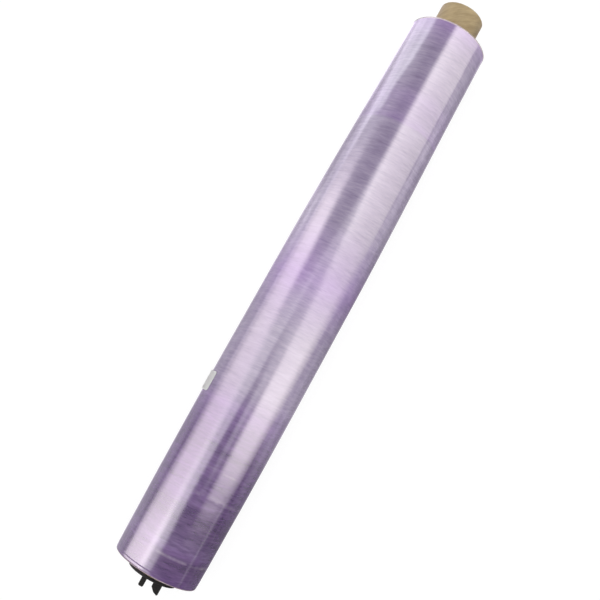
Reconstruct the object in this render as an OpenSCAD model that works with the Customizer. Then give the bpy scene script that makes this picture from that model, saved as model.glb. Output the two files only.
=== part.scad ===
// A catering roll of cling film, wound on a paperboard core.
// A moulded drive plug fills one end of the core, and the other end is open.
// A small paper tab holds the loose end of the film and lifts it.
// The roll lies on its side, and its axis is parallel to X with the plug at -X.
// Z is up, and the origin is on the ground below the middle of the length.

/* [Film] */
// Width of the film, along the axis
film_w = 450; // [320:5:600]
// Diameter of the winding where it is thickest
crown_d = 67.2; // [56:0.2:110]
// How much smaller the winding is at the plug's end
plug_end_loss = 3.6; // [0.4:0.2:6]
// How much smaller the winding is at the open end
open_end_loss = 4.8; // [0.4:0.2:6]
// Distance of the thickest stretch from the plug's end
crown_from = 150; // [60:5:200]
// Length of the thickest stretch
crown_l = 90; // [20:5:110]
// Rounding of the winding's two rims
rim_r = 1.2; // [0.4:0.1:2]
// How far the last turns stop short of the rim at the plug's end
setback_w = 3.5; // [2.2:0.1:8]
// Depth of the step that the last turns leave there
setback_t = 0.35; // [0.1:0.05:0.8]
// Step that the loose end leaves along the roll
tail_t = 0.1; // [0.04:0.02:0.4]
// Depth of the flat that the roll's weight presses into it
flat_t = 0.25; // [0.1:0.05:0.8]

/* [Winding bands] */
// Distance of the first raised band from the plug's end
band_from = 17; // [12:1:40]
// Distance from one raised band to the next
band_pitch = 45; // [20:1:90]
// Width of a raised band
band_w = 8; // [4:0.5:16]
// Height of a raised band
band_h = 0.12; // [0.04:0.02:0.4]
// Number of rings that the wander of the winding leaves on each end face
ring_n = 6; // [3:1:14]
// Largest depth of such a ring
ring_t = 0.6; // [0.1:0.1:1.2]

/* [Core] */
// Bore of the core
bore_d = 30; // [24:0.5:36]
// Wall of the core
core_wall = 2.8; // [1.5:0.1:5]
// How far the core stands out at the open end
core_open_l = 25.5; // [8:0.5:50]
// How far the core stands out at the plug's end
core_plug_l = 3.7; // [1:0.1:12]
// Chamfer on the core's outer edges
core_edge = 0.3; // [0.1:0.1:0.8]
// How much the pressed-in spigot widens the bore
press_t = 0.1; // [0.05:0.05:0.3]
// Length over which the bore comes back to its own size
press_l = 2; // [0.5:0.5:5]

/* [Plug] */
// Overhang of the flange past the core
flange_lip = 0.9; // [0.2:0.1:4]
// Thickness of the flange
flange_t = 2; // [1.2:0.1:4]
// Rounding of the flange's outer edge
flange_r = 0.5; // [0.2:0.1:0.5]
// Length of the spigot inside the core
spigot_l = 20; // [10:1:40]
// Wall of the spigot
spigot_wall = 1.8; // [1:0.1:4]
// Number of grip ribs on the spigot
rib_n = 8; // [4:1:16]
// Width of a grip rib
rib_w = 1.4; // [0.8:0.1:3]
// Height of a grip rib
rib_h = 0.5; // [0.3:0.1:1]
// Angle that the plug is turned by in the core
plug_turn = 4.5; // [-90:0.5:90]

/* [Drive lugs] */
// Height of the two lugs
lug_h = 10.3; // [5:0.1:18]
// Width of the wide lug
wide_w = 6.6; // [4.8:0.1:8]
// Depth of the wide lug
wide_d = 8; // [4:0.5:14]
// Width of the narrow lug
narrow_w = 3.8; // [2.4:0.1:8]
// Depth of the narrow lug
narrow_d = 4; // [2:0.5:10]
// Gap between the two lugs
lug_gap = 5.2; // [3:0.1:8]
// Distance of the gap's middle from the axis, towards the wide lug
gap_off = 0.9; // [0:0.1:2]
// Lead-in chamfer of the wide lug, on the side of the gap
lead_in = 2.8; // [0.6:0.1:3.4]
// How far the wide lug's tip falls from its outer edge to that chamfer
tip_fall = 1.3; // [0:0.1:3]
// Rounding at the foot of a lug
lug_foot = 0.8; // [0.3:0.1:1.2]
// Chamfer on the other edges of the lug tips
tip_edge = 0.7; // [0.2:0.1:0.9]

/* [Tab] */
// Length of the tab, along the axis
tab_l = 15; // [8:0.5:40]
// Distance of the tab from the plug's end
tab_from = 124; // [20:1:240]
// Width of the tab's stuck part, round the roll
tab_stuck_w = 12.2; // [6:0.2:24]
// How far the stuck part reaches past the loose end
tab_past = 4.4; // [1:0.2:5.6]
// Width of the tab's free part
tab_free_w = 8; // [4:0.2:16]
// Angle of the tab's stuck edge, down from the top of the roll
tab_at = 56.7; // [20:0.1:110]
// Thickness of the tab
tab_t = 0.2; // [0.1:0.05:0.5]
// Rounding of the tab's corners
tab_r = 1.6; // [0.5:0.1:2.4]

/* [Fits] */
// Clearance between the core and the innermost turn
wind_fit = 0.03; // [0.01:0.01:0.1]
// Clearance between the grip ribs and the core
rib_fit = 0.04; // [0.01:0.01:0.1]
// Thickness of the adhesive under the tab
glue_t = 0.05; // [0.02:0.01:0.1]

/* [Hidden] */

// Radii of the core, of the flange and of the turns next to the core
bore_r = bore_d / 2;
core_r = bore_r + core_wall;
wind_r = core_r + wind_fit;
flange_rad = core_r + flange_lip;
crown_r = crown_d / 2;
rib_r = bore_r + press_t - rib_fit;
spigot_r = rib_r - rib_h;

// The axis, and the middle of the whole length, as seen from the plug's end of the film
axis_z = crown_r - flat_t;
core_l = core_plug_l + film_w + core_open_l;
mid_x = (film_w + core_open_l - core_plug_l - flange_t - lug_h) / 2;

// The step that the turns make where two half turns of different centre meet
turn_shift = tail_t / 2;
crown_to = crown_from + crown_l;
stuck_a = tab_stuck_w / crown_r * 180 / PI;
past_a = tab_past / crown_r * 180 / PI;
tail_at = tab_at + stuck_a - past_a;

// Angle that the tab's curved stretch is made too long by before its edge is cut
tab_over_a = 3;

// Facets of round surfaces, and points on a rounded rim
$fn = 96;
rim_n = 3;

// Radius of the winding at a distance from the plug's end, without its bands
function crown_at(x) =
    x < crown_from ? crown_r - plug_end_loss / 2 * pow(1 - x / crown_from, 2)
    : x < crown_to ? crown_r
    : crown_r - open_end_loss / 4 * (1 - cos(180 * (x - crown_to) / (film_w - crown_to)));

// Height of the raised bands at that distance
function band_at(x) =
    let (off = abs(x - band_from - band_pitch * round((x - band_from) / band_pitch)))
    x < band_from - band_w / 2 || off > band_w / 2 ? 0 : band_h * pow(cos(180 * off / band_w), 2);

function side_r(x) = crown_at(x) + band_at(x);

// The bands that fit on the film, and the places where the side's outline has a point
band_n = floor((film_w - rim_r - band_w - band_from) / band_pitch) + 1;
side_x = [for (k = [0 : band_n - 1], j = [-2 : 2]) band_from + k * band_pitch + j * band_w / 4];

// Points of a rounded rim, from one angle to the next
function rim(centre_r, centre_x, from_a, to_a) = [
    for (k = [0 : rim_n])
        let (a = from_a + (to_a - from_a) * k / rim_n)
        [centre_r + rim_r * cos(a), centre_x + rim_r * sin(a)]
];

// Depths of the rings on an end face: they wander and end at the face's own plane
function ring_depth(k, phase) =
    k == ring_n - 1 ? 0 : ring_t * (0.5 + 0.5 * sin(phase + 137.5 * k));

// Points of an end face, from the core outwards, with its depth counted inwards
function face(outer_r, phase) = [
    for (k = [0 : ring_n - 1])
        let (step = (outer_r - wind_r) / ring_n)
        each [
            [k == 0 ? wind_r - 1 : wind_r + k * step, ring_depth(k, phase)],
            [wind_r + (k + 1) * step, ring_depth(k, phase)]
        ]
];

// Half of the winding's section, in radius and distance from the plug's end
module winding_outline() {
    shelf_r = crown_at(0) - setback_t;
    open_r = crown_at(film_w);
    plug_face = face(shelf_r - rim_r, 20);
    open_face = face(open_r - rim_r, 200);
    polygon(concat(
        plug_face,
        [for (p = rim(shelf_r - rim_r, rim_r, -90, 0)) if (p.y > 0.001) p],
        [[crown_at(setback_w) - setback_t, setback_w], [crown_at(setback_w), setback_w]],
        [for (x = side_x) [side_r(x), x]],
        [for (p = rim(open_r - rim_r, film_w - rim_r, 0, 90)) if (p.y < film_w - 0.001) p],
        [for (k = [len(open_face) - 1 : -1 : 0]) [open_face[k].x, film_w - open_face[k].y]]
    ));
}

// Puts a thing built along Z onto the roll's axis, with Z = 0 at the plug's end of the film
module on_axis() {
    translate([-mid_x, 0, axis_z]) rotate([0, 90, 0]) children();
}

// Turns a thing built towards X to an angle down from the top of the roll
module turned(down) {
    rotate([0, 0, 180 - down]) children();
}

// All turns of film as one solid: two half turns of different centre leave the loose end's step
module film() {
    color([0.72, 0.62, 0.80])
    difference() {
        on_axis() turned(tail_at) difference() {
            union() {
                rotate_extrude(angle = 180) winding_outline();
                rotate([0, 0, 180]) translate([turn_shift, 0, 0]) rotate_extrude(angle = 180)
                    translate([-turn_shift, 0]) winding_outline();
            }
            translate([0, 0, -1]) cylinder(r = wind_r, h = film_w + 2);
        }
        translate([-film_w, -crown_r, -crown_r]) cube([2 * film_w, crown_d, crown_r]);
    }
}

// Paperboard tube with square ends and a light chamfer outside, a little wider round the spigot
module core() {
    color([0.70, 0.60, 0.44])
    on_axis() translate([0, 0, -core_plug_l]) rotate_extrude() polygon([
        [bore_r + press_t, 0],
        [core_r - core_edge, 0],
        [core_r, core_edge],
        [core_r, core_l - core_edge],
        [core_r - core_edge, core_l],
        [bore_r, core_l],
        [bore_r, spigot_l + press_l],
        [bore_r + press_t, spigot_l]
    ]);
}

// Side outline of a lug: its foot is rounded, both edges of its tip are chamfered, and the tip
// may fall towards the gap
module lug_outline(width, gap_edge, fall) {
    polygon(concat(
        [[-lug_foot, -0.5], [-lug_foot, 0]],
        [for (a = [-67.5 : 22.5 : 0]) [-lug_foot + lug_foot * cos(a), lug_foot + lug_foot * sin(a)]],
        [[0, lug_h - fall - gap_edge], [gap_edge, lug_h - fall]],
        [[width - tip_edge, lug_h], [width, lug_h - tip_edge]],
        [for (a = [180 : 22.5 : 247.5])
            [width + lug_foot + lug_foot * cos(a), lug_foot + lug_foot * sin(a)]],
        [[width + lug_foot, 0], [width + lug_foot, -0.5]]
    ));
}

// A lug that stands along Z, with its gap side at X = 0 and its width along X
module lug(width, depth, gap_edge, fall) {
    translate([0, depth / 2, 0]) rotate([90, 0, 0])
        linear_extrude(depth) lug_outline(width, gap_edge, fall);
}

// Moulded plug: a flange on the core's end, a hollow ribbed spigot, and two keyed drive lugs
module end_plug() {
    color([0.12, 0.13, 0.13])
    on_axis() rotate([0, 0, plug_turn]) translate([0, 0, -core_plug_l]) {
        rotate_extrude() polygon(concat(
            [[0, -flange_t]],
            [for (a = [-90 : 22.5 : 0])
                [flange_rad - flange_r + flange_r * cos(a), flange_r - flange_t + flange_r * sin(a)]],
            [
                [flange_rad, 0],
                [spigot_r, 0],
                [spigot_r, spigot_l],
                [spigot_r - spigot_wall, spigot_l],
                [spigot_r - spigot_wall, 0],
                [0, 0]
            ]
        ));
        for (k = [0 : rib_n - 1])
            rotate([0, 0, 360 * (k + 0.5) / rib_n]) grip_rib();
        mirror([0, 0, 1]) translate([0, 0, flange_t]) {
            translate([0, lug_gap / 2 - gap_off, 0]) rotate([0, 0, 90])
                lug(narrow_w, narrow_d, tip_edge, 0);
            translate([0, -lug_gap / 2 - gap_off, 0]) rotate([0, 0, -90])
                lug(wide_w, wide_d, lead_in, tip_fall);
        }
    }
}

// Rib along the spigot, with a lead-in at its inner end and a crest that follows the bore
module grip_rib() {
    intersection() {
        translate([0, -rib_w / 2, 0]) cube([core_r, rib_w, spigot_l]);
        rotate_extrude() polygon([
            [spigot_r - spigot_wall / 2, 0],
            [rib_r, 0],
            [rib_r, spigot_l - 4 * rib_h],
            [spigot_r, spigot_l - rib_h],
            [spigot_r - spigot_wall / 2, spigot_l - rib_h]
        ]);
    }
}

// Plate that stands in the plane Y, Z with its thickness along X, and has rounded corners
module rounded_plate(from_y, to_y, length, thickness) {
    width = to_y - from_y;
    rotate([90, 0, 90]) translate([from_y, 0, 0]) linear_extrude(thickness) {
        translate([tab_r, 0]) square([width - 2 * tab_r, length]);
        translate([0, tab_r]) square([width, length - 2 * tab_r]);
        for (y = [tab_r, width - tab_r], z = [tab_r, length - tab_r])
            translate([y, z]) circle(r = tab_r);
    }
}

// Paper tab: one part follows the film over its loose end, the other stands free in line with it
module start_tab() {
    seat_r = max([for (x = [tab_from : 1 : tab_from + tab_l]) side_r(x)]) + glue_t;
    edge_y = seat_r * sin(stuck_a / 2);
    color([0.84, 0.84, 0.83])
    on_axis() translate([0, 0, tab_from]) turned(tab_at + stuck_a) {
        intersection() {
            rotate_extrude(angle = stuck_a + tab_over_a) translate([seat_r, 0]) square([tab_t, tab_l]);
            rotate([0, 0, stuck_a / 2]) rounded_plate(-edge_y - 2 * tab_r, edge_y, tab_l, crown_d);
        }
        intersection() {
            translate([seat_r, 0, 0]) rounded_plate(-tab_free_w, 2 * tab_r, tab_l, tab_t);
            translate([0, -2 * tab_free_w, 0]) cube([crown_d, 2 * tab_free_w, tab_l]);
        }
    }
}

film();
core();
end_plug();
start_tab();
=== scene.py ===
# %% [markdown]
# # A roll of cling film
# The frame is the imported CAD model: four nodes, film, core, end_plug and start_tab, in metres.
# The roll lies along X with its drive plug at -X, and its lowest line touches the ground, Z = 0.
# The film is modelled again here with a finer surface. The core, the plug and the tab keep their
# CAD meshes and get finishes of their own.

import math

import bmesh
import bpy
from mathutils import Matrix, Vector, noise


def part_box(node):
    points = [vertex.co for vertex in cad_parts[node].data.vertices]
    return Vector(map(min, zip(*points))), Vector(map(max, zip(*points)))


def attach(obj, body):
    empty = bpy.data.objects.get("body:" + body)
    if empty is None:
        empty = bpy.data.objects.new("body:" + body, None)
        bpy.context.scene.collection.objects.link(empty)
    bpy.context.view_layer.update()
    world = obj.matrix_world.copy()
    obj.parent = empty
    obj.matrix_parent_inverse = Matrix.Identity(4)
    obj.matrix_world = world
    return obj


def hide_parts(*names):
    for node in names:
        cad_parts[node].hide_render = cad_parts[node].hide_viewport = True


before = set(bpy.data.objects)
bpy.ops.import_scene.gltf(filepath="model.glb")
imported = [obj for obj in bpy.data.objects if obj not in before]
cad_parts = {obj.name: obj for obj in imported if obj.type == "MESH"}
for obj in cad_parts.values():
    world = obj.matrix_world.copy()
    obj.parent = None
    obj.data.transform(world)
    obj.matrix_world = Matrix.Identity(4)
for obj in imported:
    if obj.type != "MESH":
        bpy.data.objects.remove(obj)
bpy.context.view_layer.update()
MM = 0.001

# %% [markdown]
# ## The camera
# The photograph looks almost straight down at the roll, so that it crosses the square picture from
# the lower left to the upper right. Lens, place and turn were found by fitting the outline of the
# roll, of the core and of the plug's flange to the picture. A turn about Z alone puts the roll on
# the diagonal, and the horizon stays level.

# %% Place the camera
lens = bpy.data.cameras.new("camera")
lens.lens = 46.15
lens.sensor_width = 36
camera = bpy.data.objects.new("camera", lens)
camera.location = (-0.09656, -0.04201, 0.59745)
camera.rotation_euler = (math.radians(9.4187), 0, math.radians(-61.236))
bpy.context.scene.collection.objects.link(camera)
bpy.context.scene.camera = camera
bpy.context.scene.view_settings.view_transform = "Standard"
print("camera", round(camera.location.length, 3), "m from the ground below the roll")

# %% [markdown]
# ## Where things are on the roll
# Most of what follows is placed by a distance from the film's end at the plug and by an angle down
# from the top of the roll, towards +Y. The film's box gives that end, and the axis is half the
# core's height up. The winding is thickest between 150 and 240 mm and loses a few millimetres of
# diameter towards both ends. There the film is a little thinner, and every turn adds to that.

# %% Measure the roll
film_low, film_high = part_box("film")
core_low, core_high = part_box("core")
FILM_FROM = film_low.x
FILM_LENGTH = film_high.x - film_low.x
AXIS_HEIGHT = (core_low.z + core_high.z) / 2
CORE_RADIUS = (core_high.z - core_low.z) / 2
CROWN_RADIUS = 33.6 * MM
CROWN = (150 * MM, 240 * MM)
PLUG_END_LOSS = 1.8 * MM
OPEN_END_LOSS = 2.4 * MM


def winding_radius(along):
    """Radius of the winding at a distance from the plug's end, without waves."""
    if along < CROWN[0]:
        return CROWN_RADIUS - PLUG_END_LOSS * (1 - along / CROWN[0]) ** 2
    if along < CROWN[1]:
        return CROWN_RADIUS
    fall = (along - CROWN[1]) / (FILM_LENGTH - CROWN[1])
    return CROWN_RADIUS - OPEN_END_LOSS * (1 - math.cos(math.pi * fall)) / 2


def on_roll(along, angle, radius):
    """A place by distance from the film's plug end, angle from the top towards +Y, and radius."""
    return Vector((FILM_FROM + along, radius * math.sin(angle), AXIS_HEIGHT + radius * math.cos(angle)))


print("film", round(FILM_LENGTH / MM, 1), "mm long, axis", round(AXIS_HEIGHT / MM, 2), "mm up")

# %% [markdown]
# ## The winding
# Hundreds of turns of thin film make one body with a slightly waved surface. It could be turned
# from a plain outline alone, but then it would look like a polished pipe. So a tube is spun first,
# finely cut near its rims, and its vertices are moved in or out afterwards. Real geometry carries
# all that is wider than a few millimetres, and the finish only adds what is finer.

# %% Spin the tube
TURN_STEPS = 200
RIM_RADIUS = 0.9 * MM
RIM_ZONE = 6 * MM
RIM_CUTS = 3
LOOSE_END = math.radians(70)
WINDING_FIT = 0.03 * MM
BORE_STEP, SIDE_STEP, FACE_STEP = 30 * MM, 1.35 * MM, 0.55 * MM


def new_piece(name, shape, body="root"):
    """Makes an object of a bmesh, lets it ride on a body, and returns it."""
    mesh = bpy.data.meshes.new(name)
    shape.to_mesh(mesh)
    shape.free()
    piece = bpy.data.objects.new(name, mesh)
    bpy.context.scene.collection.objects.link(piece)
    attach(piece, body)
    print(name, len(mesh.polygons), "faces")
    return piece


def spun_tube(inner, outer, low, high, start, steps, rim, turn_steps):
    """A tube along X from low to high, spun from the angle start, with rounded outer rims.
    steps are the lengths that its bore, its side and its ends are cut into, before the rims' zone
    is cut finer."""
    shape = bmesh.new()
    corners = [(low, inner), (low, outer), (high, outer), (high, inner)]
    outline = [shape.verts.new(on_roll(along, start, radius)) for along, radius in corners]
    bore = shape.edges.new((outline[3], outline[0]))
    for k in range(3):
        shape.edges.new(outline[k:k + 2])
    bmesh.ops.bevel(shape, geom=outline[1:3], offset=rim, segments=5, profile=0.5,
                    affect="VERTICES", material=-1)
    for edge in shape.edges[:]:
        across = edge.verts[1].co - edge.verts[0].co
        step = steps[0] if edge == bore else steps[1] if abs(across.x) > across.length / 2 else steps[2]
        cuts = round(across.length / step) - 1
        if cuts > 0:
            bmesh.ops.subdivide_edges(shape, edges=[edge], cuts=cuts)
    near_rims = [edge for edge in shape.edges if edge.calc_length() > 1 * MM and all(
        min(vert.co.x - FILM_FROM - low, FILM_FROM + high - vert.co.x) < RIM_ZONE for vert in edge.verts)]
    bmesh.ops.subdivide_edges(shape, edges=near_rims, cuts=RIM_CUTS)
    bmesh.ops.spin(shape, geom=shape.verts[:] + shape.edges[:], cent=(0, 0, AXIS_HEIGHT),
                   axis=(1, 0, 0), angle=math.tau, steps=turn_steps, use_merge=True)
    bmesh.ops.recalc_face_normals(shape, faces=shape.faces)
    return shape


film = spun_tube(CORE_RADIUS + WINDING_FIT, CROWN_RADIUS, 0, FILM_LENGTH, LOOSE_END,
                 (BORE_STEP, SIDE_STEP, FACE_STEP), RIM_RADIUS, TURN_STEPS)
print("tube", len(film.verts), "vertices, closed:", all(e.is_manifold for e in film.edges))

# %% [markdown]
# What moves the vertices is what happens on a real roll. The film is a little thinner near its
# edges, so the middle swells to a crown. Where the winding wandered, thin rings stand up. Air
# between the turns makes slow waves. The last turns stop short of the rim at the plug's end and
# leave a shelf. The loose end leaves a low step along the roll, and over one whole turn the radius
# grows by its height. Every layer ends a little further in or out, which gives the end faces their
# rings, and the roll's own weight presses a flat into its lowest line.

# %% Heights on the side and on the ends
# Each ring's distance from the plug's end and its height, in mm
RINGS = ((17, 0.04), (62, 0.04), (95, 0.02), (152, 0.02), (231, 0.03), (310, 0.03), (366, 0.05),
         (392, 0.03), (418, 0.03))
RING_REACH = 1.5 * MM
SHELF_WIDTH, SHELF_DEPTH = 2.7 * MM, 0.1 * MM
STEP_HEIGHT = 0.1 * MM
BROAD_LENGTH, BROAD_HEIGHT = 26 * MM, 0.05 * MM
NARROW_LENGTH, NARROW_HEIGHT = 7 * MM, 0.012 * MM
WAVE_DRIFT, WAVE_SINK = 6 * MM, 0.06 * MM
FINE_WIDTH, COARSE_WIDTH = 1.1 * MM, 4.5 * MM
MIDDLE_DEPTH, COARSE_DEPTH, FINE_DEPTH = 0.22, 0.35, 0.16


def bell(distance, reach):
    """1 at no distance, falling smoothly to 0."""
    return math.exp(-(distance / reach) ** 2)


def wave(along, angle):
    """Height of the waves. They run round the roll, shift a little as they do, and stay below 0."""
    turn = Vector((math.sin(angle), math.cos(angle), 0))
    drift = along + WAVE_DRIFT * math.sin(angle + 0.6)
    broad = noise.noise(Vector((drift / BROAD_LENGTH, 0.7 * turn.x, 0.7 * turn.y)))
    narrow = noise.noise(Vector((drift / NARROW_LENGTH, 1.1 * turn.x + 9, 1.1 * turn.y)))
    return BROAD_HEIGHT * broad + NARROW_HEIGHT * narrow - WAVE_SINK


def side_offset(along, angle):
    """How far the side lies above the crown's radius there."""
    rise = sum(high * MM * bell(along - at * MM, RING_REACH) for at, high in RINGS)
    shelf = SHELF_DEPTH if along < SHELF_WIDTH else 0
    return winding_radius(along) - CROWN_RADIUS + rise + wave(along, angle) - shelf


def end_depth(radius, from_plug):
    """How deep the end face lies at that radius: every layer of turns wandered a little."""
    fine = noise.noise(Vector((radius / FINE_WIDTH, 3.7 if from_plug else 8.2, 0)))
    coarse = noise.noise(Vector((radius / COARSE_WIDTH, 1.4 if from_plug else 5.9, 0)))
    return max(0, MIDDLE_DEPTH + COARSE_DEPTH * coarse + FINE_DEPTH * fine) * MM


print(len(RINGS), "thin rings; the top lies", round(side_offset(200 * MM, 0) / MM, 2),
      "mm from the crown's radius at 200 mm")

# %% Shape the winding
CORE_GAP = CORE_RADIUS + 1 * MM
TOUCH = 0.01 * MM
for vert in film.verts:
    along = vert.co.x - FILM_FROM
    out = Vector((0, vert.co.y, vert.co.z - AXIS_HEIGHT))
    radius = out.length
    angle = math.atan2(out.y, out.z)
    turned = ((LOOSE_END - angle) / math.tau) % 1
    if radius > CROWN_RADIUS - RIM_RADIUS - TOUCH:
        radius += side_offset(along, angle) - STEP_HEIGHT * (1 - turned)
    elif radius > CORE_GAP:
        near = min(along, FILM_LENGTH - along)
        squeeze = winding_radius(along) / CROWN_RADIUS
        from_plug = along < FILM_LENGTH / 2
        depth = end_depth(radius, from_plug) * min(1, (CROWN_RADIUS - RIM_RADIUS - radius) / MM)
        if near < TOUCH:
            vert.co.x += depth if from_plug else -depth
        radius = CORE_GAP + (radius - CORE_GAP) * squeeze
    out = out.normalized() * radius
    vert.co.y, vert.co.z = out.y, max(0, AXIS_HEIGHT + out.z)

winding = new_piece("winding", film)
winding.data.shade_smooth()
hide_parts("film")

# %% [markdown]
# ## A short way to write finishes
# A finish is a small network of nodes. Sums and products of values are written as plain Python, and
# every other node is made by one method, with its settings first and its sockets after them.

# %% Helpers for finishes
class Value:
    """A number that varies over a surface. Arithmetic on it adds Math nodes."""

    def __init__(self, finish, socket):
        self.finish = finish
        self.socket = socket

    def math(self, operation, *others):
        made = self.finish.node("ShaderNodeMath", {"operation": operation})
        for slot, value in enumerate((self, *others)):
            self.finish.feed(made.inputs[slot], value)
        return Value(self.finish, made.outputs[0])

    def rising(self, start, reach):
        """0 before start, and 1 from start + reach on. A negative reach turns the rise round."""
        return ((self - start) / reach).math("MINIMUM", 1).math("MAXIMUM", 0)

    def __add__(self, other):
        return self.math("ADD", other)

    def __sub__(self, other):
        return self.math("SUBTRACT", other)

    def __rsub__(self, other):
        return self.math("MULTIPLY", -1).math("ADD", other)

    def __mul__(self, other):
        return self.math("MULTIPLY", other)

    def __truediv__(self, other):
        return self.math("DIVIDE", other)

    def __pow__(self, other):
        return self.math("POWER", other)

    __radd__ = __add__
    __rmul__ = __mul__


class Finish:
    """One material: its nodes, its coordinates, and the shader that they feed."""

    def __init__(self, name):
        self.material = bpy.data.materials.new(name)
        self.material.use_nodes = True
        self.tree = self.material.node_tree
        self.tree.nodes.clear()
        self.output = self.node("ShaderNodeOutputMaterial")

    def feed(self, socket, value):
        """Links a value, or a node's socket, or sets a plain number or colour."""
        if isinstance(value, Value):
            value = value.socket
        if isinstance(value, bpy.types.NodeSocket):
            self.tree.links.new(value, socket)
        else:
            socket.default_value = value

    def node(self, kind, settings=None, sockets=None):
        made = self.tree.nodes.new(kind)
        settings = dict(settings or {})
        stops = settings.pop("stops", None)
        for name, value in settings.items():
            setattr(made, name, value)
        if stops:
            ramp = made.color_ramp
            while len(ramp.elements) < len(stops):
                ramp.elements.new(1)
            for element, (place, colour) in zip(ramp.elements, stops):
                element.position, element.color = place, (*colour, 1)
        for name, value in (sockets or {}).items():
            self.feed(made.inputs[name], value)
        return made

    def place(self):
        """Distance along the roll and the two directions across it, in metres from the axis."""
        coordinates = self.node("ShaderNodeTexCoord").outputs["Object"]
        shifted = self.node("ShaderNodeVectorMath", {"operation": "SUBTRACT"},
                            {0: coordinates, 1: (FILM_FROM, 0, AXIS_HEIGHT)})
        parts = self.node("ShaderNodeSeparateXYZ", None, {0: shifted.outputs[0]})
        return [Value(self, parts.outputs[k]) for k in range(3)]

    def grain(self, place, along, across, detail=3, roughness=0.55):
        """Noise between 0 and 1, with so many grains per metre along the roll and across it."""
        x, y, z = place
        joined = self.node("ShaderNodeCombineXYZ", None, {0: x * along, 1: y * across, 2: z * across})
        noise_node = self.node("ShaderNodeTexNoise", {"noise_dimensions": "3D"},
                               {"Vector": joined.outputs[0], "Scale": 1.0, "Detail": detail,
                                "Roughness": roughness})
        return Value(self, noise_node.outputs[0])

    def between(self, share, low, high):
        """A colour between two colours."""
        low, high = ((*colour, 1) if isinstance(colour, tuple) else colour for colour in (low, high))
        mix = self.node("ShaderNodeMix", {"data_type": "RGBA", "clamp_factor": True},
                        {0: share, 6: low, 7: high})
        return mix.outputs[2]

    def tinted(self, colour, by):
        """A varying colour multiplied by a plain one."""
        mix = self.node("ShaderNodeMix", {"data_type": "RGBA", "blend_type": "MULTIPLY"},
                        {0: 1, 6: colour, 7: (*by, 1)})
        return mix.outputs[2]

    def bump(self, height, depth, under=None):
        """A normal from a height between 0 and 1 that stands for depth in metres."""
        made = self.node("ShaderNodeBump", None, {"Strength": 1.0, "Distance": depth, "Height": height})
        if under is not None:
            self.feed(made.inputs["Normal"], under)
        return made.outputs[0]

    def shade(self, **sockets):
        """The surface shader. Its sockets' names are written with _ for a space."""
        shader = self.node("ShaderNodeBsdfPrincipled")
        for name, value in sockets.items():
            if isinstance(value, tuple) and len(value) == 3:
                value = (*value, 1)
            self.feed(shader.inputs[name.replace("_", " ")], value)
        self.feed(self.output.inputs[0], shader.outputs[0])


# %% [markdown]
# ## The film's finish
# Cling film is clear with a faint violet tint. Hundreds of turns with a little air between them give
# it depth: every turn mirrors some light, so the roll shines like pearl, and where it mirrors
# nothing bright one looks into violet. Real thin layers would take far too long to render, so a
# violet ground under a strong, colourless gloss stands for them. The ground changes along the
# roll, because the winding is denser in some places: one colour for each distance in mm.

# %% Film ground
film_finish = Finish("stretched_film")
x, y, z = film_finish.place()
angle = y.math("ARCTAN2", z)
GROUND_DRIFT, GROUND_LEAN = 6 * MM, 1.5 * MM
PALE = (0.308, 0.244, 0.385)
VIOLET = (0.330, 0.190, 0.480)
DEEP = (0.126, 0.055, 0.208)
DUSKY = (0.272, 0.210, 0.350)
INK = (0.082, 0.036, 0.130)


def part_way(first, second, share):
    """A colour between two colours, worked out here because it is the same everywhere."""
    return tuple(a + (b - a) * share for a, b in zip(first, second))


GROUND_BANDS = (
    (0, DEEP), (14, part_way(DEEP, INK, 0.8)), (19, DEEP), (24, part_way(DEEP, PALE, 0.15)),
    (42, part_way(DEEP, INK, 0.6)), (60, DEEP), (75, DEEP), (90, part_way(DEEP, INK, 0.25)),
    (108, part_way(DEEP, VIOLET, 0.1)), (122, part_way(DEEP, VIOLET, 0.3)),
    (140, part_way(DEEP, PALE, 0.8)), (185, PALE), (205, part_way(PALE, VIOLET, 0.3)),
    (228, part_way(PALE, VIOLET, 0.9)), (245, part_way(PALE, VIOLET, 0.5)), (275, PALE),
    (330, part_way(PALE, DUSKY, 0.6)), (360, part_way(PALE, DUSKY, 0.6)),
    (362, part_way(DUSKY, VIOLET, 0.45)), (370, part_way(DUSKY, VIOLET, 0.2)),
    (383, part_way(DUSKY, VIOLET, 0.3)), (390, part_way(DUSKY, VIOLET, 0.1)),
    (405, part_way(PALE, DUSKY, 0.5)), (425, DUSKY), (440, part_way(DUSKY, VIOLET, 0.3)),
    (450, part_way(PALE, VIOLET, 0.8)))
wander = film_finish.grain((x, y, z), 60, 25, detail=2)
stops = [(at * MM / FILM_LENGTH, colour) for at, colour in GROUND_BANDS]
where = (x + (wander - 0.5) * GROUND_DRIFT + angle * GROUND_LEAN) / FILM_LENGTH
ground = film_finish.node("ShaderNodeValToRGB", {"stops": stops}, {"Fac": where}).outputs[0]
print("ground of", len(stops), "colours along", round(FILM_LENGTH / MM), "mm")

# %% [markdown]
# Fine strands run round the roll where the film was stretched, and a second set leans a little.
# They could be drawn as hair-thin geometry, but thousands of them cost less as noise that is
# stretched round the roll. They lighten and darken the ground, most near the plug. The pattern
# leans with the angle, so it has a seam, which lies on the line where the roll touches the ground.

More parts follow.
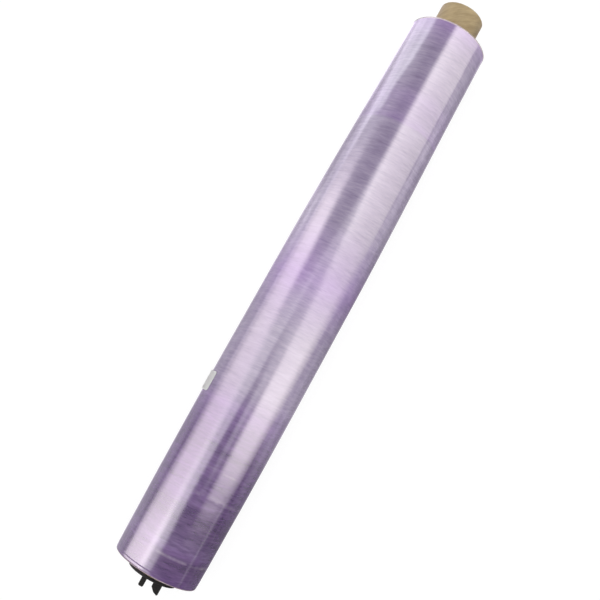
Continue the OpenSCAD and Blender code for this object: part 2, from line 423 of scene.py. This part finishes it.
# %% Film strands
STRAND_LEAN, WRINKLE_LEAN = 3 * MM, -9 * MM
STRANDS_PER_METRE = 620
BUSY_UP_TO, CALM_FROM = 90 * MM, 150 * MM
STRAND_SHARE, BAND_SHARE, WRINKLE_SHARE = 1.6, 1.5, 0.5
BUSY_CONTRAST, CALM_LOSS = 1.15, 0.6
DARKER, LIGHTER = (0.58, 0.50, 0.66), (1.42, 1.50, 1.34)
strand = film_finish.grain((x + angle * STRAND_LEAN, y, z), STRANDS_PER_METRE, 90, roughness=0.6)
wrinkle = film_finish.grain((x + angle * WRINKLE_LEAN, y, z), 330, 80, detail=2)
band = film_finish.grain((x, y, z), 150, 14, detail=4, roughness=0.65)
contrast = BUSY_CONTRAST - x.rising(BUSY_UP_TO, CALM_FROM - BUSY_UP_TO) * CALM_LOSS
streaks = ((strand - 0.5) * STRAND_SHARE + (band - 0.5) * BAND_SHARE
           + (wrinkle - 0.5) * WRINKLE_SHARE) * contrast
ground = film_finish.between(streaks + 0.5, film_finish.tinted(ground, DARKER),
                             film_finish.tinted(ground, LIGHTER))
print("strands about", round(1 / STRANDS_PER_METRE / MM, 1), "mm wide")

# %% [markdown]
# Where the edge of a turn lies, a thin pale line shows in patches on the side towards -Y. Both rims
# get a creamy line painted into the colour: a painted reflection on the rounded edges. It is held to
# the outermost radius, because the masks along X would also paint the end faces.

# %% Pale lines and painted rim reflections
# Each line's distance from the plug's end in mm, and its strength
LINES = ((16.7, 0.5), (62.3, 0.4), (81, 0.3))
LINE_WIDTH, LINE_DRIFT = 1.5 * MM, 2.5 * MM
LINE_PATCHES, LINE_SIDE = (0.42, 0.2), (0.2, -0.25)
LINE_COLOUR = (0.50, 0.42, 0.50)
OUTERMOST_FROM, RIM_SOFTNESS = 30.3 * MM, 0.4 * MM
# Where each rim's painted reflection rises and over what length, how much of its colour shows, and the
# colour
RIM_REFLECTIONS = ((FILM_LENGTH - 1.3 * MM, 0.6 * MM, 0.8, (0.66, 0.56, 0.55)),
        (0.75 * MM, -0.4 * MM, 0.5, (0.62, 0.48, 0.42)))
lines = 0
for at, strength in LINES:
    off = (x - at * MM - (wander - 0.5) * LINE_DRIFT).math("ABSOLUTE") / LINE_WIDTH
    lines = (1 - off).math("MAXIMUM", 0) * strength + lines
patches = film_finish.grain((x, y, z), 40, 70)
lines = lines * patches.rising(*LINE_PATCHES) * angle.rising(*LINE_SIDE)
ground = film_finish.between(lines, ground, LINE_COLOUR)
outermost = ((y * y + z * z) ** 0.5).rising(OUTERMOST_FROM, RIM_SOFTNESS)
# Painted reflection: a cream line along each rounded rim.
for start, reach, share, colour in RIM_REFLECTIONS:
    ground = film_finish.between(x.rising(start, reach) * outermost * share, ground, colour)
print(len(LINES), "pale lines and", len(RIM_REFLECTIONS), "rims")

# %% [markdown]
# The gloss is stronger than a single sheet's, because many layers mirror at once. A high index of
# refraction does that without metal. A thin clear coat adds the crisp share that the outermost
# turn mirrors. Three shallow reliefs pull the rest into soft bands.

# %% Film gloss
STRAND_DEPTH, WRINKLE_DEPTH, SOFT_DEPTH = 0.010 * MM, 0.014 * MM, 0.04 * MM
MIDDLE_ROUGHNESS, ROUGHNESS_RANGE = 0.18, 0.12
soft = film_finish.grain((x, y, z), 120, 40, detail=2)
relief = film_finish.bump(strand, STRAND_DEPTH)
relief = film_finish.bump(wrinkle, WRINKLE_DEPTH, relief)
relief = film_finish.bump(soft, SOFT_DEPTH, relief)
rough = (strand - 0.5) * ROUGHNESS_RANGE + MIDDLE_ROUGHNESS
film_finish.shade(Base_Color=ground, Roughness=rough, IOR=2.6,
                  Coat_Weight=0.3, Coat_Roughness=0.04, Coat_IOR=1.5, Normal=relief)
winding.data.materials.append(film_finish.material)
print("film finish:", len(film_finish.tree.nodes), "nodes")

# %% [markdown]
# ## The core
# The core is wound from strips of kraft paper, so its short fibres and darker streaks lean a little
# round the tube. The strips' edges are finer than a pixel here, so leaning noise is enough and no
# geometry is cut. At the open end a paler band is painted along the rim: a painted highlight where
# the rounded cut edge catches the light.

# %% Core finish
STRIP_LEAN = 11 * MM
KRAFT_DARK, KRAFT_LIGHT, KRAFT_EDGE_HIGHLIGHT = (0.25, 0.18, 0.08), (0.50, 0.385, 0.21), (0.60, 0.54, 0.42)
HIGHLIGHT_WIDTH, HIGHLIGHT_REACH = 0.7 * MM, 0.4 * MM
board_finish = Finish("kraft_board")
x, y, z = board_finish.place()
strip = x + y.math("ARCTAN2", z) * STRIP_LEAN
fibre = board_finish.grain((strip, y, z), 260, 60, detail=4, roughness=0.7)
blotch = board_finish.grain((strip, y, z), 60, 40)
kraft = board_finish.between((fibre - 0.5) * 1.7 + (blotch - 0.5) * 1.3 + 0.5, KRAFT_DARK, KRAFT_LIGHT)
# A painted highlight: the rounded cut edge at the open end is lightened as if it caught the light.
cut = x.rising(core_high.x - FILM_FROM - HIGHLIGHT_WIDTH, HIGHLIGHT_REACH)
kraft = board_finish.between(cut * 0.8, kraft, KRAFT_EDGE_HIGHLIGHT)
board_finish.shade(Base_Color=kraft, Roughness=0.6, Normal=board_finish.bump(fibre, 0.05 * MM))
print("core finish:", len(board_finish.tree.nodes), "nodes")

# %% [markdown]
# ## The plug and the tab
# The plug is moulded from black plastic with a fine, slightly worn texture. The tab is plain
# paper, soft white with faint fibres. Their CAD shapes are right already, so only a finish is
# added to each.

# %% Plug and tab finishes
plug_finish = Finish("black_moulding")
x, y, z = plug_finish.place()
mould = plug_finish.grain((x, y, z), 2500, 2500, detail=2)
wear = plug_finish.grain((x, y, z), 160, 160, detail=4, roughness=0.7)
plastic = plug_finish.between(wear, (0.003, 0.003, 0.003), (0.014, 0.013, 0.012))
plug_finish.shade(Base_Color=plastic, Roughness=wear * 0.2 + 0.4, Specular_IOR_Level=0.22,
                  Normal=plug_finish.bump(mould, 0.02 * MM))

tab_finish = Finish("white_tab_paper")
x, y, z = tab_finish.place()
fibre = tab_finish.grain((x, y, z), 500, 900, detail=4, roughness=0.7)
paper = tab_finish.between(fibre, (0.72, 0.72, 0.71), (0.88, 0.88, 0.87))
tab_finish.shade(Base_Color=paper, Roughness=0.75, Normal=tab_finish.bump(fibre, 0.02 * MM))

for name, finish in (("core", board_finish), ("end_plug", plug_finish), ("start_tab", tab_finish)):
    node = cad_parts[name]
    node.data.materials.clear()
    node.data.materials.append(finish.material)
    print(name, "gets", finish.material.name)

# %% [markdown]
# ## The floor
# A wide, plain, pale sheet. Matt white alone would turn grey away from the lamp, so the sheet mixes
# in a light of its own. The camera sees most of it, and so an almost white ground that still takes
# the roll's shadow. Mirrored rays see half of it, or the roll's sides would turn white.

# %% Floor
SHEET_HALF = 12
FLOOR_GREY = 0.8
FLOOR_GLOW = 1.1
CAMERA_SHARE, MIRRORED_SHARE = 0.8, 0.5
BELOW_ROLL = 0.02 * MM
sheet = bmesh.new()
bmesh.ops.create_grid(sheet, x_segments=1, y_segments=1, size=SHEET_HALF)
floor_mesh = bpy.data.meshes.new("floor")
sheet.to_mesh(floor_mesh)
sheet.free()
floor = bpy.data.objects.new("floor", floor_mesh)
floor.location.z = -BELOW_ROLL
bpy.context.scene.collection.objects.link(floor)
floor_finish = Finish("pale_floor")
seen = floor_finish.node("ShaderNodeLightPath").outputs
by_camera, by_gloss, by_glass = (Value(floor_finish, seen[f"Is {kind} Ray"])
                                 for kind in ("Camera", "Glossy", "Transmission"))
share = by_gloss.math("MAXIMUM", by_glass) * MIRRORED_SHARE + by_camera * CAMERA_SHARE
matt = floor_finish.node("ShaderNodeBsdfDiffuse", None, {"Color": (*[FLOOR_GREY] * 3, 1)})
glow = floor_finish.node("ShaderNodeEmission", None, {"Color": (1, 1, 1, 1), "Strength": FLOOR_GLOW})
mixed = floor_finish.node("ShaderNodeMixShader", None, {0: share, 1: matt.outputs[0], 2: glow.outputs[0]})
floor_finish.feed(floor_finish.output.inputs[0], mixed.outputs[0])
floor_mesh.materials.append(floor_finish.material)
print("floor", 2 * SHEET_HALF, "m wide,", round(-floor.location.z / MM, 2), "mm below the roll")

# %% [markdown]
# ## The light
# Large soft panels stand round the roll, as in a studio. A glossy roll shows them as long bright
# bands. Panels could be pushed about until the bands fit, but here each is placed by where its
# picture lies on the roll: the camera's line to that spot is mirrored there and followed to the
# panel. A panel only adds light to what lies behind it, so two of them can cross.

# %% Panels placed by their picture
FAR_REACH = 1.4
NEAR_REACH = 0.1


def seen_from(along, degrees, reach):
    """Where the camera's line goes after it is mirrored at a spot of the roll."""
    along *= MM
    angle = math.radians(degrees)
    spot = on_roll(along, angle, winding_radius(along))
    slope = (winding_radius(along + MM) - winding_radius(along - MM)) / (2 * MM)
    normal = Vector((-slope, math.sin(angle), math.cos(angle))).normalized()
    return spot + (spot - camera.location).normalized().reflect(normal) * reach


def glowing_grid(columns, rows):
    """A grid of so many vertices each way, two units wide, and the layer for their glow."""
    shape = bmesh.new()
    glow = shape.verts.layers.float_color.new("glow")
    bmesh.ops.create_grid(shape, x_segments=columns - 1, y_segments=rows - 1, size=1)
    shape.verts.ensure_lookup_table()
    return shape, glow


def lit(name, shape, see_through):
    """Makes an object of a glowing grid that only mirrored rays meet. One that is seen through adds
    its light to what lies behind it."""
    mesh = bpy.data.meshes.new(name)
    shape.to_mesh(mesh)
    shape.free()
    made = bpy.data.objects.new(name, mesh)
    bpy.context.scene.collection.objects.link(made)
    finish = Finish(name)
    glow = finish.node("ShaderNodeAttribute", {"attribute_name": "glow"})
    surface = finish.node("ShaderNodeEmission", None, {"Color": glow.outputs["Color"], "Strength": 1.0})
    if see_through:
        clear = finish.node("ShaderNodeBsdfTransparent")
        surface = finish.node("ShaderNodeAddShader", None, {0: surface.outputs[0], 1: clear.outputs[0]})
    finish.feed(finish.output.inputs[0], surface.outputs[0])
    mesh.materials.append(finish.material)
    made.visible_camera = made.visible_diffuse = made.visible_shadow = False
    made.visible_transmission = see_through
    print(name, len(mesh.polygons), "faces")


def panel(name, colour, soft, *rungs, reach=FAR_REACH):
    """A glowing panel, given by what it shows on the roll: each rung is a distance along the roll in
    mm, two angles in degrees, and the strength at each. Beyond them it fades out over soft degrees."""
    shape, glow = glowing_grid(4, len(rungs))
    for row, (along, low, high, low_glow, high_glow) in enumerate(rungs):
        columns = ((low - soft[0], 0), (low, low_glow), (high, high_glow), (high + soft[1], 0))
        for column, (angle, strength) in enumerate(columns):
            vert = shape.verts[row * len(columns) + column]
            vert.co = seen_from(along, angle, reach)
            vert[glow] = (*(part * strength for part in colour), 1)
    lit(name, shape, True)


# %% [markdown]
# Two windows make the two broad bands on the upper side. Their shoulders are the fainter bands
# beside them, the cards light the far, open end, and the ceiling keeps that end from going dark.

# %% Windows, shoulders and cards
WARM, CREAM = (1.05, 0.95, 1.00), (1.04, 0.98, 0.96)
COOL, PLAIN = (0.98, 0.97, 1.03), (1.01, 0.98, 0.98)
panel("left_window", WARM, (7, 12), (-40, 14, 37.5, 3.4, 2.6), (15, 14, 37.5, 3.4, 2.6),
      (45, 15, 36, 2.8, 2.3), (60, 16, 34, 2.5, 2.3), (100, 16, 33.5, 2.4, 2.2), (140, 17, 34, 1.9, 1.8),
      (200, 20, 35, 2.1, 1.9), (235, 21, 36, 2.2, 1.9), (265, 24, 36, 2.9, 2.6), (280, 25, 36, 2.6, 2.7),
      (300, 27, 36, 1.5, 1.6), (320, 27, 36, 0.8, 0.7), (345, 26, 36, 0.2, 0))
panel("left_window_edge", WARM, (4, 1.8), (85, 43, 45.5, 0, 0), (55, 43, 45.5, 0.15, 0.35),
      (35, 43, 45.5, 0.4, 0.6), (15, 43, 45.5, 0.35, 0.6), (-20, 43, 45.5, 0.3, 0.5), reach=NEAR_REACH)
panel("right_window", CREAM, (14, 6), (530, -47, -7.3, 1.2, 2.6), (375, -51, -7.2, 1.6, 2.6),
      (340, -49, -7, 1.3, 2.3), (310, -48, -8.5, 1.3, 2.3), (280, -46, -11, 1.4, 2.2),
      (250, -39, -14, 1.4, 1.8), (220, -38, -16, 1.6, 1.7), (180, -37, -16, 2.5, 2.1),
      (140, -37, -18.5, 2.8, 2.9), (110, -37, -18.5, 2.7, 2.75), (80, -36, -21, 2.0, 2.1),
      (60, -34, -22, 0.8, 0.9), (45, -34, -22, 0.15, 0.2), (28, -34, -22, 0, 0))
panel("left_far_card", COOL, (5, 6), (530, 29, 55, 1.7, 0.8), (440, 29.5, 55, 1.7, 0.8),
      (410, 30.5, 54, 1.8, 0.3), (392, 35.5, 52, 1.7, 0.4), (364, 36, 52, 1.4, 0.4),
      (354, 46, 52, 0.4, 0.3), (340, 46, 55, 0.15, 0.4), (312, 46, 55, 0.1, 0.4), (285, 44, 54, 0.4, 0.6),
      (250, 44, 54, 0.25, 0.3), (225, 44, 54, 0, 0), reach=NEAR_REACH)
panel("left_far_halo", COOL, (12, 6), (530, 30, 46, 0.4, 0.3), (365, 30, 46, 0.4, 0.3),
      (355, 31, 45, 0.8, 0.8), (335, 31, 45, 0.7, 0.7), (300, 31, 46, 0.3, 0.2), (270, 31, 46, 0, 0),
      reach=NEAR_REACH)
panel("right_far_card", PLAIN, (6, 4), (530, -56, -52, 0.1, 0.2), (375, -56, -52, 0.4, 0.7),
      (300, -56, -52, 0.2, 0.4), (260, -56, -52, 0, 0), reach=NEAR_REACH)
panel("ceiling", PLAIN, (6, 6), (530, -50, 45, 0.6, 0.75), (300, -50, 45, 0.55, 0.65),
      (140, -50, 45, 0.3, 0.3), (100, -50, 45, 0.0, 0.0))
panel("far_channel", PLAIN, (7, 5), (530, 17, 24, 0.3, 0.3), (280, 17, 24, 0.3, 0.3), (250, 17, 24, 0, 0))
panel("left_shoulder", PLAIN, (3, 6), (235, 2, 10, 0.3, 0.1), (205, 2.5, 13, 1.0, 1.0),
      (140, 2.8, 12, 1.1, 1.2), (105, 3.5, 12, 1.6, 1.4), (80, 4.3, 12, 1.6, 1.5),
      (55, 3.5, 11, 1.9, 1.8), (30, 1.5, 11, 1.5, 1.9), (15, 0.8, 11, 1.1, 1.7), (-40, 0.8, 11, 1.0, 1.6))
panel("right_line", PLAIN, (0.8, 0.8), (75, -42, -41.4, 0, 0), (55, -42, -41.4, 1.1, 1.1),
      (35, -42, -41.4, 0.8, 0.8), (-40, -42, -41.4, 0.6, 0.6))
panel("right_shoulder", PLAIN, (3, 3), (335, -8, -4, 0, 0), (310, -9, -3, 0.5, 0.7),
      (280, -10, -3, 0.5, 0.8), (250, -11, 1, 0.6, 0.8), (220, -10, 3, 0.6, 0.7),
      (180, -11, -2, 0.8, 0.5), (150, -11, -7, 0.9, 0.9), (110, -11, -7.5, 0.8, 1.1),
      (80, -11, -9, 0.35, 0.45), (60, -11, -9, 0.1, 0.1))

# %% [markdown]
# The rounded rims look away from the camera. An upright card beyond each end gives them a pale line.

# %% End cards
CARD_BEYOND, CARD_HEIGHT, CARD_HALF = 0.9, 0.55, 0.5
CARD_TINT = (1, 0.94, 0.9)
for side, strength in ((-1, 0.9), (1, 0.6)):
    shape, glow = glowing_grid(2, 2)
    for vert in shape.verts:
        vert.co = Vector((side * CARD_BEYOND, vert.co.x * CARD_HALF, CARD_HEIGHT + vert.co.y * CARD_HALF))
        vert[glow] = (*(part * strength for part in CARD_TINT), 1)
    lit("end_card", shape, True)

# %% [markdown]
# The bare floor would wash out the roll's sides. Two flags with stripes of faintly lilac grey lie
# on it along the roll, where only mirrored rays meet them, and draw the sides' darker lines.

# %% Flags
FLAG_HEIGHT = 1 * MM
LILAC = (1.02, 0.94, 1.10)


def flag(name, side, distances, shades, *rungs):
    """A sheet on the floor beside the roll, with stripes at some distances from the axis in mm. Each
    rung is a place along the roll in mm, the set of shades there, and what they are multiplied by."""
    shape, glow = glowing_grid(len(distances), len(rungs))
    for row, (along, kind, share) in enumerate(rungs):
        for column, (distance, shade) in enumerate(zip(distances, shades[kind])):
            vert = shape.verts[row * len(distances) + column]
            vert.co = Vector((FILM_FROM + along * MM, side * distance * MM, FLAG_HEIGHT))
            vert[glow] = (*(part * shade * share for part in LILAC), 1)
    lit(name, shape, False)


flag("left_flag", 1, (34, 60, 72, 90, 110, 135, 170, 230, 300, 420, 600, 8000),
     {"plug end": (0.85, 0.85, 0.8, 0.82, 0.92, 0.88, 0.8, 0.7, 0.4, 0.35, 0.6, 0.6),
      "middle": (0.85, 0.85, 0.75, 0.8, 0.95, 0.9, 0.8, 0.8, 0.65, 0.75, 1.1, 1.1),
      "open end": (1.4, 1.3, 0.8, 0.8, 0.95, 0.95, 0.9, 0.9, 0.75, 0.8, 1.1, 1.1)},
     (-2500, "plug end", 0.92), (20, "plug end", 0.9), (60, "plug end", 0.84), (110, "middle", 0.8),
     (150, "middle", 0.9), (200, "middle", 0.85), (240, "middle", 0.95), (280, "middle", 1.13),
     (303, "middle", 1.3), (335, "middle", 0.9), (370, "middle", 1.0), (410, "open end", 1.05),
     (450, "open end", 1.3), (484, "open end", 1.8), (530, "open end", 1.3), (600, "open end", 0.9),
     (5000, "open end", 0.8))
flag("right_flag", -1, (34, 66, 85, 105, 150, 185, 205, 225, 290, 8000),
     {"plug end": (0.25, 0.2, 0.22, 0.24, 0.16, 0.12, 0.75, 0.15, 0.15, 0),
      "middle": (0.54, 0.5, 0.57, 0.82, 0.9, 0.75, 0.85, 0.65, 0.88, 0.85),
      "open end": (0.95, 0.53, 0.62, 0.75, 0.55, 0.4, 0.35, 0.4, 0.55, 0.6)},
     (-2500, "plug end", 1), (20, "plug end", 1), (45, "plug end", 1.3), (70, "middle", 0.58),
     (108, "middle", 1.03), (144, "middle", 1.03), (194, "middle", 0.8), (241, "middle", 0.58),
     (278, "middle", 0.8), (315, "middle", 0.97), (386, "middle", 1.0), (428, "middle", 1.0),
     (470, "open end", 1.0), (505, "open end", 1.1), (5000, "open end", 1.1))

# %% [markdown]
# One large soft lamp above lights the matt pieces and the ground. It is hidden from mirrored rays,
# because the panels already make the roll's bright bands.

# %% Fill light
fill = bpy.data.lights.new("fill", "AREA")
fill.shape = "RECTANGLE"
fill.size, fill.size_y = 2.4, 2.4
fill.energy = 54
overhead = bpy.data.objects.new("fill", fill)
overhead.location = (0, 0, 2.2)
overhead.visible_glossy = False
bpy.context.scene.collection.objects.link(overhead)
print("fill of", fill.energy, "W,", overhead.location.z, "m up")

# %% [markdown]
# To the camera the room is as white as the far floor, so no horizon shows. To everything else it
# is dim, or it would fill the shadows and blur the bands.

# %% World
ROOM_SEEN, ROOM_LIGHT = 0.905, 0.15
world = bpy.data.worlds.new("studio")
bpy.context.scene.world = world
world.use_nodes = True
sky = world.node_tree.nodes["Background"]
sky.inputs["Color"].default_value = (1, 1, 1, 1)
sight = world.node_tree.nodes.new("ShaderNodeLightPath")
white = world.node_tree.nodes.new("ShaderNodeMath")
white.operation = "MULTIPLY_ADD"
white.inputs[1].default_value = ROOM_SEEN - ROOM_LIGHT
white.inputs[2].default_value = ROOM_LIGHT
world.node_tree.links.new(sight.outputs["Is Camera Ray"], white.inputs[0])
world.node_tree.links.new(white.outputs[0], sky.inputs["Strength"])
print("room", ROOM_SEEN, "to the camera and", ROOM_LIGHT, "to the rest")
